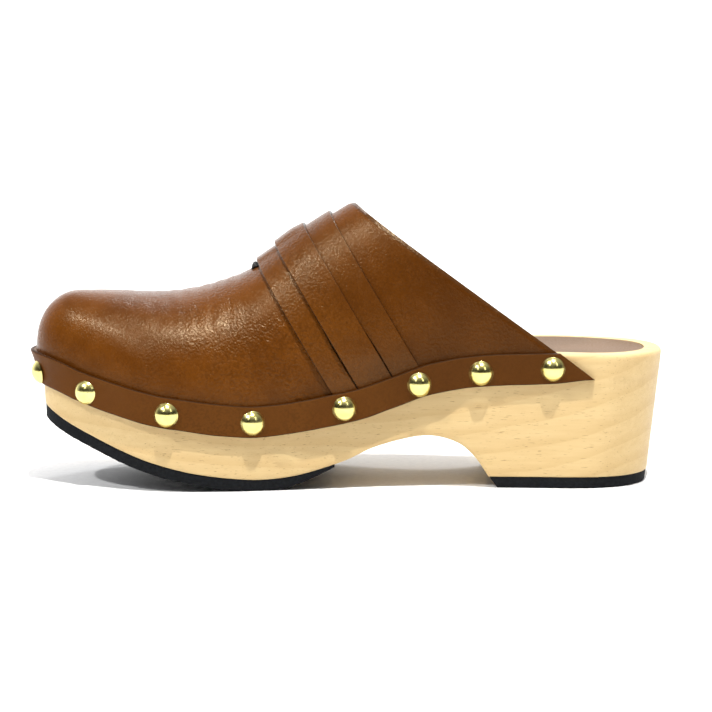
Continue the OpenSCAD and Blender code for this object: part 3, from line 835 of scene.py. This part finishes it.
def outsoles():
    """Forefoot rubber along the underside, and the heel's lift with its slanted front."""
    u = from_toe(np.linspace(0, 1, 121))
    x = ring_x(u, tip_of_underside(-RUBBER_INSET), RUBBER_REAR)
    sole = rubber_solid("forefoot_rubber", x, x, underside(x), rubber_low(x))
    cut_nail_seats(sole)
    place(sole, "forefoot_outsole")

    u = np.sin(np.linspace(0, np.pi / 2, 61))
    top = ring_x(u, HEEL_FRONT_X, heel_at(RUBBER_T, -RUBBER_INSET))
    low = ring_x(u, HEEL_FRONT_X + LIFT_SLANT, heel_at(0, -RUBBER_INSET))
    lift = rubber_solid("heel_rubber", top, low, RUBBER_T, 0)
    cut_nail_seats(lift)
    place(lift, "heel_top_lift")


# ---------------------------------------- the upper
VAMP_EDGE_RADIUS = 0.8
MARGIN_END_SLANT = 3
BREAK_X = -58
BREAK_Z = 58
PULL_X = -31
PULL_Z = 51
PUFF_T = 0.9
PUFF_X = -92
PUFF_BOW = 10


def vamp_grid(out, columns, rows):
    """Points of the vamp from the toe's tip to the opening, with its margin down both walls."""
    angles = np.linspace(0, 180, rows)
    u = from_toe(np.linspace(0, 1, columns + 1))[:, None]
    tip = tip_at(0, out)
    rear = opening_x(angles, out)
    dome = vamp_point(tip + (rear - tip) * u, angles + 0 * u, out)
    dome[0] = [tip, centre(tip), footbed(tip)]

    def margin(side, share):
        drop = MARGIN_H * share
        low_tip = tip_at(drop, out)
        end = opening_x_at(HEEL_Z, side) + MARGIN_END_SLANT * share
        row = wall_point(low_tip + (end - low_tip) * u[:, 0], side, drop, out)
        row[0, 1] = centre(low_tip)
        return row[:, None]

    shares = (1.0, 0.75, 0.5, 0.25)
    inner = [margin(INNER, s) for s in shares]
    outer = [margin(OUTER, s) for s in shares[::-1]]
    return np.concatenate(inner + [dome] + outer, 1)


def folds(points, slope, pitch, waver, size, seed):
    """Waves of -1 to 1 with a pitch along the shoe. They lean by a slope, and waver over lumps."""
    x, z = points[..., 0], points[..., 2]
    return np.sin((x + slope * z + waver * lumps(points, size, seed)) * 2 * np.pi / pitch)


def creases(points):
    """Small folds of the worn-in leather: across the toe break, and where the straps pull."""
    x, z = points[..., 0], points[..., 2]
    soft = 0.14 * lumps(points, 19, 1) + 0.07 * lumps(points, 6, 2)
    toe_break = zone(x, BREAK_X, 20) * eased((z - BREAK_Z) / 14)
    across_toe = folds(points, slope=0.35, pitch=6.5, waver=6, size=20, seed=4)
    pulled = zone(x, PULL_X, 6) * zone(z, PULL_Z, 9)
    at_strap = folds(points, slope=0.7, pitch=5, waver=4, size=12, seed=6)
    return soft + 0.18 * toe_break * across_toe + 0.28 * pulled * at_strap


def vamp():
    """Closed toe leather, creased on its outer face, with a rounded cut edge at the opening."""
    columns, rows = 150, 117
    high = vamp_grid(-GAP, columns, rows)
    low = vamp_grid(-GAP - VAMP_T, columns, rows)
    thick = unit(high - low)
    above_band = eased((high[..., 2] - footbed(high[..., 0]) - 2) / 8)[..., None]
    high = high + thick * creases(high)[..., None] * above_band
    run = np.linalg.norm(np.diff(high, axis=0), axis=-1)
    to_rear = np.concatenate([np.cumsum(run[::-1], 0)[::-1], np.zeros((1, run.shape[1]))])
    share = edge_share(to_rear, VAMP_T, VAMP_EDGE_RADIUS)
    obj = sheet("leather_vamp", high, low, share, [VAMP_LEATHER, LINING], front_open=False)
    place(obj, "vamp")


def toe_puff():
    """Thin stiffener inside the toe, thinned towards its bowed rear edge."""
    columns, rows = 40, 61
    angles = np.linspace(4, 176, rows)
    u = from_toe(np.linspace(0, 1, columns + 1))[:, None]

    def grid(out):
        tip = tip_at(0, out)
        rear = PUFF_X + PUFF_BOW * np.sin(np.radians(angles))
        points = vamp_point(tip + (rear - tip) * u, angles + 0 * u, out)
        points[0] = points[0, 0]
        return points

    start = -GAP - VAMP_T - GAP
    high, low = grid(start), grid(start - PUFF_T)
    share = np.ones(high.shape[:2])
    share[-1] = 0.35
    share[-2] = 0.8
    place(sheet("toe_stiffener", high, low, share, [PUFF, PUFF], front_open=False), "toe_puff")


# ---------------------------------------- straps and tab
STRAP_LINE_Z = 65
STRAP_RAKE = 0.6
STRAP_EDGES = (-22.4, -11, 5, 18.1)
STRAP_TUCK = 3.2
STRAP_T = 1.6
STRAP_EDGE_RADIUS = 0.35
STRAP_BOW = 0.10
SKIVED_T = 1.15
STRAP_END_DROP = 8
TAB_T = 0.8
TAB_W = 10
TAB_FRONT = -38
TAB_REAR = -22
TAB_NOSE_L = 2.4
RIDGE_RADIUS = 34


def tuck(z):
    """Overlap under the middle strap: none near the band, full over the instep."""
    return STRAP_TUCK * eased((z - 54) / 34) - 0.3


def strap_x_at(which, t, z):
    """X at a fraction across a strap, from its front edge to its rear one, at a height."""
    front = STRAP_EDGES[which] - (tuck(z) if which == 2 else 0)
    rear = STRAP_EDGES[which + 1] + (tuck(z) if which == 0 else 0)
    return front + (rear - front) * t + (STRAP_LINE_Z - z) * STRAP_RAKE


def strap_x(which, t, angle):
    """X where a line along a strap crosses a line of the vamp."""
    low = np.full(np.broadcast(t, angle).shape, -60.0)
    high = np.full(low.shape, 50.0)
    for _ in range(24):
        middle = (low + high) / 2
        z = vamp_point(middle, angle)[..., 2]
        before = middle < strap_x_at(which, t, z)
        low = np.where(before, middle, low)
        high = np.where(before, high, middle)
    return (low + high) / 2


def strap_end(which, t, side, out):
    """Points of a strap's end, down the wall behind the band."""
    x = np.full(t.shape, 10.0)
    for _ in range(10):
        x = strap_x_at(which, t, footbed(x) - STRAP_END_DROP)
    return wall_point(x, side, STRAP_END_DROP, out)


def strap_lift(which, p, height):
    """Gap below a strap: it rises over the tab, and the middle one over its two neighbours."""
    over_tab = (TAB_T * eased((TAB_W / 2 + 5 - np.abs(p[..., 1] - centre(p[..., 0]))) / 5)
                * eased((TAB_REAR + 8 - p[..., 0]) / 7))
    over_straps = (STRAP_T + GAP / 2) * eased(height / 14) if which == 1 else 0
    return GAP / 2 + over_tab + over_straps


def strap(which, name, node):
    """Strap over the instep, with its thinned ends behind the band."""
    width = STRAP_EDGES[which + 1] - STRAP_EDGES[which]
    d = edge_stations(width, STRAP_EDGE_RADIUS, 12)
    t = (d / width)[:, None]
    angles = np.linspace(0, 180, 121)[None, :] + 0 * t
    x = strap_x(which, t + 0 * angles, angles)
    p = vamp_point(x, angles)
    height = p[..., 2] - footbed(x)
    normal = vamp_normal(x, angles)
    thickness = SKIVED_T + (STRAP_T - SKIVED_T) * eased(height / 8)
    lift = strap_lift(which, p, height)
    uneven = 0.10 * lumps(p, 12, 20 + which) * eased((height - 4) / 8)
    bow = STRAP_BOW * (1 - (2 * t - 1) ** 2)
    low = p + normal * lift[..., None]
    high = p + normal * (lift + thickness + uneven + bow)[..., None]

    def with_ends(grid, out):
        inner, outer = (strap_end(which, t[:, 0], side, out)[:, None] for side in (INNER, OUTER))
        return np.concatenate([inner, grid, outer], 1)

    high = with_ends(high, GAP / 2 + SKIVED_T)
    low = with_ends(low, GAP / 2)
    share = edge_share(np.minimum(d, width - d), STRAP_T, STRAP_EDGE_RADIUS)[:, None]
    share = share + np.zeros(high.shape[1])
    place(sheet(name, high, low, share, [STRAP_LEATHER, LINING], sharp=55), node)


def instep_tab():
    """Tab under the straps along the ridge, with a thicker rounded nose in front of them."""
    nose = np.linspace(0, TAB_NOSE_L, 10)
    behind = np.linspace(TAB_NOSE_L, TAB_REAR - TAB_FRONT, 16)[1:]
    d = np.concatenate([nose, behind])[:, None]
    across_tab = np.linspace(-1, 1, 15)[None, :]
    narrow = 0.8 + 0.2 * np.clip(d / TAB_NOSE_L, 0, 1)
    y = across_tab * TAB_W / 2 * narrow
    x = TAB_FRONT + d + 0 * y
    angles = 90 + np.degrees(np.arcsin(y / RIDGE_RADIUS))
    bulge = np.sin(np.radians(180 * np.clip(d / TAB_NOSE_L * 0.8, 0, 1)))
    thickness = np.where(d < TAB_NOSE_L, TAB_T * (0.35 + 1.6 * bulge), TAB_T) + 0 * y
    base = vamp_point(x, angles)
    normal = vamp_normal(x, angles)
    low = base + normal * GAP / 4
    high = low + normal * thickness[..., None]
    share = edge_share((1 - np.abs(across_tab)) * TAB_W / 2, TAB_T, STRAP_EDGE_RADIUS) + 0 * d
    place(sheet("webbing_tab", high, low, share, [TAB, TAB]), "instep_tab")


# ---------------------------------------- band and dome nails
BAND_EDGE_RADIUS = 0.6
BAND_TAPER = 2.2
# Each nail's X, and its drop below the footbed's edge.
INNER_NAILS = [(-120, 7), (-101.5, 6.7), (-70, 6.4), (-37, 6.1), (-1.5, 5.8), (28, 6.3), (52.3, 6.5),
               (80.3, 5.7)]
OUTER_NAILS = [(-120, 7), (-101.5, 6.7), (-70, 6.4), (-37, 6.2), (-4, 6.2), (22, 6.3), (44, 6.3),
               (66, 6)]
NAIL_DENT = 0.30
NAIL_DENT_R = 6.2
NAIL_PRESS = 0.12
DOME_D = 9.6
DOME_H = 2.9
SHANK_D = 1.6
SHANK_L = 14


def strap_bulge(x):
    """How far the straps' ends behind it push the band out."""
    return SKIVED_T * eased((x + 26) / 12) * eased((46 - x) / 12)


def welt_band():
    """Leather band round the toe: the straps' ends swell it, the nails pull it in a little."""
    d = edge_stations(BAND_W, BAND_EDGE_RADIUS, 14)
    t = d / BAND_W
    s = np.linspace(-1, 1, 361)
    columns = []
    for value in s:
        side = OUTER if value < 0 else INNER
        low_end = opening_x_at(HEEL_Z - BAND_H + BAND_TAPER, side)
        high_end = opening_x_at(HEEL_Z, side)
        end = low_end + (high_end - low_end) * t
        faces = []
        for out in (GAP + BAND_T, GAP):
            tip = tip_at(BAND_H - d, out)
            x = tip + (end - tip) * from_toe(abs(value))
            raised = BAND_TAPER * eased((x - end + 20) / 20) * (1 - t)
            drop = BAND_H - d - raised
            faces.append(wall_point(x, side, drop, out + strap_bulge(x)))
        columns.append(faces)
    high, low = np.array(columns).swapaxes(0, 1)
    normal = unit(high - low)
    wave = 0.16 * lumps(high, 15, 30) + 0.06 * lumps(high, 4, 31)
    for nails, side in ((INNER_NAILS, INNER), (OUTER_NAILS, OUTER)):
        for x, drop in nails:
            away = np.linalg.norm(high - wall_point(x, side, drop, GAP + BAND_T), axis=-1)
            wave = wave - NAIL_DENT * zone(away, 0, NAIL_DENT_R)
    high = high + normal * wave[..., None]
    edge_wave = 0.22 * lumps(high, 9, 33) * (1 - t) ** 6 + 0.12 * lumps(high, 7, 34) * t ** 6
    high[..., 2] += edge_wave
    low[..., 2] += edge_wave
    share = edge_share(np.minimum(d, BAND_W - d), BAND_T, BAND_EDGE_RADIUS)[None, :] + np.zeros((len(s), 1))
    band = sheet("leather_band", high, low, share, [BAND_LEATHER, LINING], sharp=60)
    place(band, "welt_band")


def dome_nail_profile():
    """Half section of a nail: a pointed shank, a flat rim and a spherical cap with a rolled edge."""
    radius = (DOME_D ** 2 / 4 + DOME_H ** 2) / (2 * DOME_H)
    reach = math.asin(DOME_D / 2 / radius)
    cap = [(radius * math.sin(a), DOME_H - radius + radius * math.cos(a)) for a in np.linspace(0, reach, 15)]
    cap[-1] = (DOME_D / 2, 0.12)
    shank = [(DOME_D / 2 - 0.15, -0.02), (SHANK_D / 2, 0.0), (SHANK_D / 2, -SHANK_L), (0.0, -SHANK_L - 2)]
    return cap + shank


def dome_nails(name, nails, side, node):
    """A row of nails: the profile turned about the wall's normal, and pressed into the band."""
    profile = np.array(dome_nail_profile())
    turn = np.linspace(0, 2 * np.pi, 49)[:-1]
    points, faces = [], []
    for x, drop in nails:
        normal = Vector(wall_normal(x, side, drop))
        out = GAP + BAND_T + float(strap_bulge(x)) - NAIL_PRESS
        seat = Vector(wall_point(x, side, drop)) + normal * out
        turned = normal.to_track_quat("Z", "Y").to_matrix()
        first = len(points)
        for r, h in profile:
            points += [seat + turned @ Vector((r * math.cos(a), r * math.sin(a), h)) for a in turn]
        index = first + np.arange(len(profile) * len(turn)).reshape(len(profile), -1)
        faces += list(grid_faces(np.concatenate([index, index[:, :1]], 1)))
    obj = build(name, np.array(points), faces, [BRASS], sharp=40)
    place(obj, node)


def carried_over():
    """Hidden steel parts keep their CAD meshes, with a material."""
    for node in ("sole_nails", "vamp_staples"):
        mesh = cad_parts[node].data
        mesh.materials.clear()
        mesh.materials.append(STEEL)


# ---------------------------------------- floor, light and camera
WINDOW_DISTANCE = 2.5


def camera():
    """Seen from the inner side, a little above, through a long lens."""
    target = Vector((0.0034, 0.0, 0.04844))
    distance = 1.4
    elevation = math.radians(6.9)
    data = bpy.data.cameras.new("camera")
    data.sensor_width = 36
    data.lens = 177
    data.clip_end = 100
    obj = add_object("camera", data)
    obj.location = target + Vector((0, -math.cos(elevation), math.sin(elevation))) * distance
    obj.rotation_euler = Euler((math.radians(90) - elevation, 0, 0))
    bpy.context.scene.camera = obj


def floor():
    """Paper, far wider than the view."""
    size = 30.0
    corners = [(-size, -size, 0), (size, -size, 0), (size, size, 0), (-size, size, 0)]
    mesh = bpy.data.meshes.new("floor")
    mesh.from_pydata(corners, [], [(0, 1, 2, 3)])
    mesh.materials.append(paper_floor())
    obj = add_object("floor", mesh)


def aimed_light(data, azimuth, elevation, distance=0.0):
    """Puts a light in the scene, aimed at the shoe: azimuth 0 is the camera's side, 90 the heel's."""
    a, e = math.radians(azimuth), math.radians(elevation)
    towards = Vector((math.sin(a) * math.cos(e), -math.cos(a) * math.cos(e), math.sin(e)))
    obj = add_object(data.name, data)
    obj.location = towards * distance
    obj.rotation_euler = towards.to_track_quat("Z", "Y").to_euler()


def sun(name, azimuth, elevation, strength, angle, colour=(1, 1, 1)):
    """Light from a direction. Its angle, in degrees, softens the shadows."""
    data = bpy.data.lights.new(name, "SUN")
    data.energy = strength
    data.angle = math.radians(angle)
    data.color = colour
    aimed_light(data, azimuth, elevation)


def window(name, azimuth, elevation, width, height, power):
    """Tall soft light some metres away, for the metal to show."""
    data = bpy.data.lights.new(name, "AREA")
    data.shape = "RECTANGLE"
    data.size = width
    data.size_y = height
    data.energy = power
    aimed_light(data, azimuth, elevation, WINDOW_DISTANCE)


def room():
    """A studio with a bright wall behind the shoe and a soft ceiling, and dark towards the camera."""
    world = bpy.data.worlds.new("room")
    world.use_nodes = True
    tree = world.node_tree
    where = tree.nodes.new("ShaderNodeTexCoord")
    parts = tree.nodes.new("ShaderNodeSeparateXYZ")
    tree.links.new(where.outputs["Generated"], parts.inputs["Vector"])

    def ramp(axis, start, end, low, high):
        node = tree.nodes.new("ShaderNodeMapRange")
        node.interpolation_type = "SMOOTHSTEP"
        tree.links.new(parts.outputs[axis], node.inputs["Value"])
        for key, value in (("From Min", start), ("From Max", end), ("To Min", low), ("To Max", high)):
            node.inputs[key].default_value = value
        return node.outputs["Result"]

    camera_side, wall, ceiling = 0.04, 1.6, 0.45
    blend = tree.nodes.new("ShaderNodeMix")
    tree.links.new(ramp("Z", 0.3, 1.0, 0.0, 1.0), blend.inputs["Factor"])
    tree.links.new(ramp("Y", -0.2, 0.8, camera_side, wall), blend.inputs["A"])
    blend.inputs["B"].default_value = ceiling
    tree.links.new(blend.outputs["Result"], tree.nodes["Background"].inputs["Strength"])
    tree.nodes["Background"].inputs["Color"].default_value = (1, 1, 1, 1)
    bpy.context.scene.world = world


def lights():
    """High key light from the front, fill from above, behind and the left, and two windows."""
    sun("key", 12, 72, 3.7, 0.6, (1.0, 0.98, 0.95))
    sun("overhead", -10, 82, 0.3, 4)
    sun("behind", 165, 50, 0.8, 8)
    sun("left", -56, 50, 1.6, 2.5)
    window("window_left", -32, 40, 0.35, 1.0, 4)
    window("window_right", 38, 38, 0.25, 1.0, 3)
    room()
    bpy.context.scene.view_settings.view_transform = "Standard"


camera()
floor()
lights()
carved_sole()
insole()
outsoles()
vamp()
toe_puff()
strap(0, "instep_strap_front", "strap_front")
strap(1, "instep_strap_middle", "strap_middle")
strap(2, "instep_strap_rear", "strap_rear")
instep_tab()
welt_band()
dome_nails("brass_nails_inner", INNER_NAILS, INNER, "dome_nails_inner")
dome_nails("brass_nails_outer", OUTER_NAILS, OUTER, "dome_nails_outer")
carried_over()
